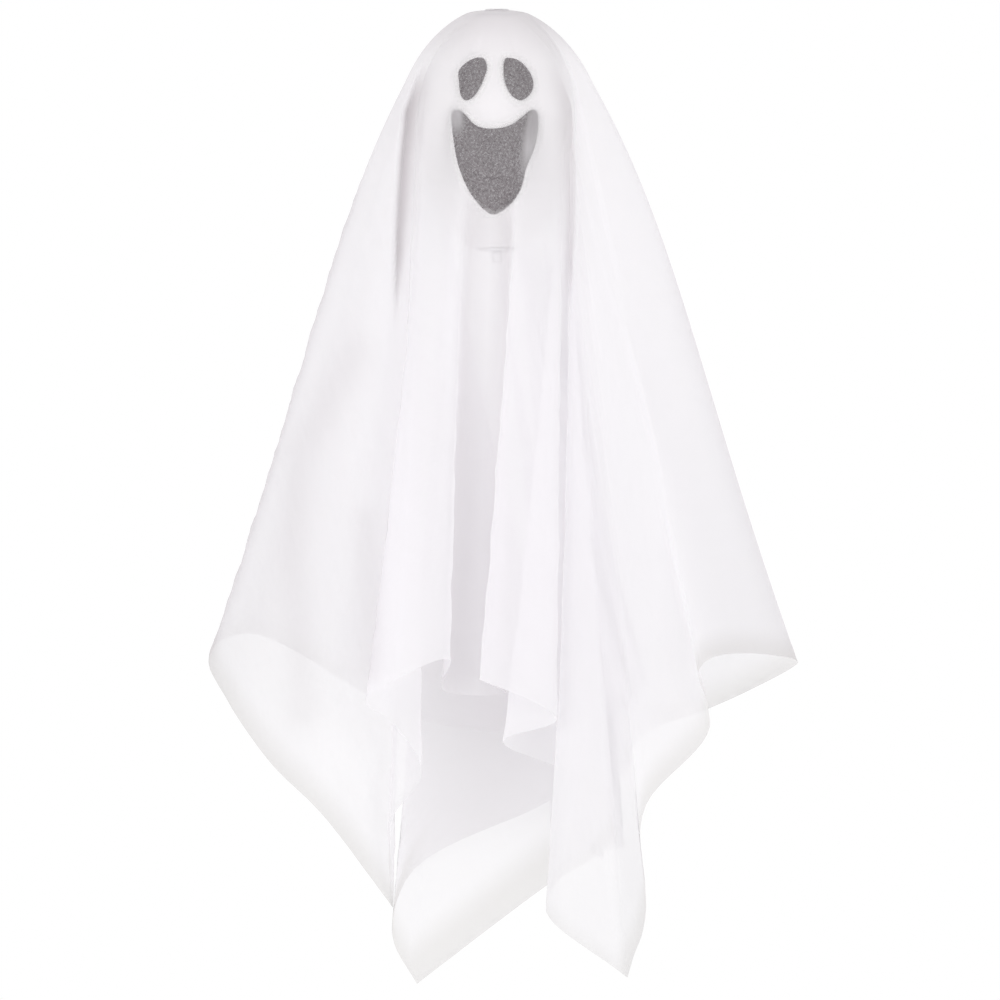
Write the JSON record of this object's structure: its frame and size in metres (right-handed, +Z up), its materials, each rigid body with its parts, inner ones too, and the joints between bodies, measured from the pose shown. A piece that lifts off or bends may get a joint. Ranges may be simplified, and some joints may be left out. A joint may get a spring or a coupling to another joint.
{
  "type": "hanging fabric ghost",
  "caption": "Hanging ghost of sheer white cloth draped over an egg-shaped head with a smiling felt face, carried by a ring and a turning pin inside its crown.",
  "frame": {"origin": "the point inside the hanging ring where a cord pulls, on the ghost's upright axis", "axes": "+Z up along the hanging axis, -Y out of the face, +X to the right of someone facing the ghost"},
  "size_m": [0.2842, 0.3035, 0.4884],
  "materials": {
    "steel": "plain drawn wire",
    "white_plastic": "smooth moulded",
    "foam": "fine-grained moulded foam",
    "black_felt": "matt felt",
    "white_metal": "white enamel",
    "sheer_cloth": "fine sheer woven polyester"
  },
  "bodies": {
    "ring": {"hanging_ring": "steel"},
    "pin": {"hanger_pin": "steel", "end_stop": "steel"},
    "ghost": {"lower_washer": "steel", "hanger_cup": "white_plastic", "head_form": "foam", "right_eye": "black_felt", "left_eye": "black_felt", "mouth": "black_felt", "crown_eyelet": "white_metal", "shroud_crown": "sheer_cloth", "shroud": "sheer_cloth"}
  },
  "joints": [
    {"name": "swing", "type": "hinge", "parent": "ring", "child": "pin", "pos_m": [0, 0, -0.008], "axis": [0, 1, 0], "range_deg": [-30, 30]},
    {"name": "turn", "type": "hinge", "parent": "pin", "child": "ghost", "pos_m": [0, 0, 0], "axis": [0, 0, 1], "continuous": true}
  ]
}
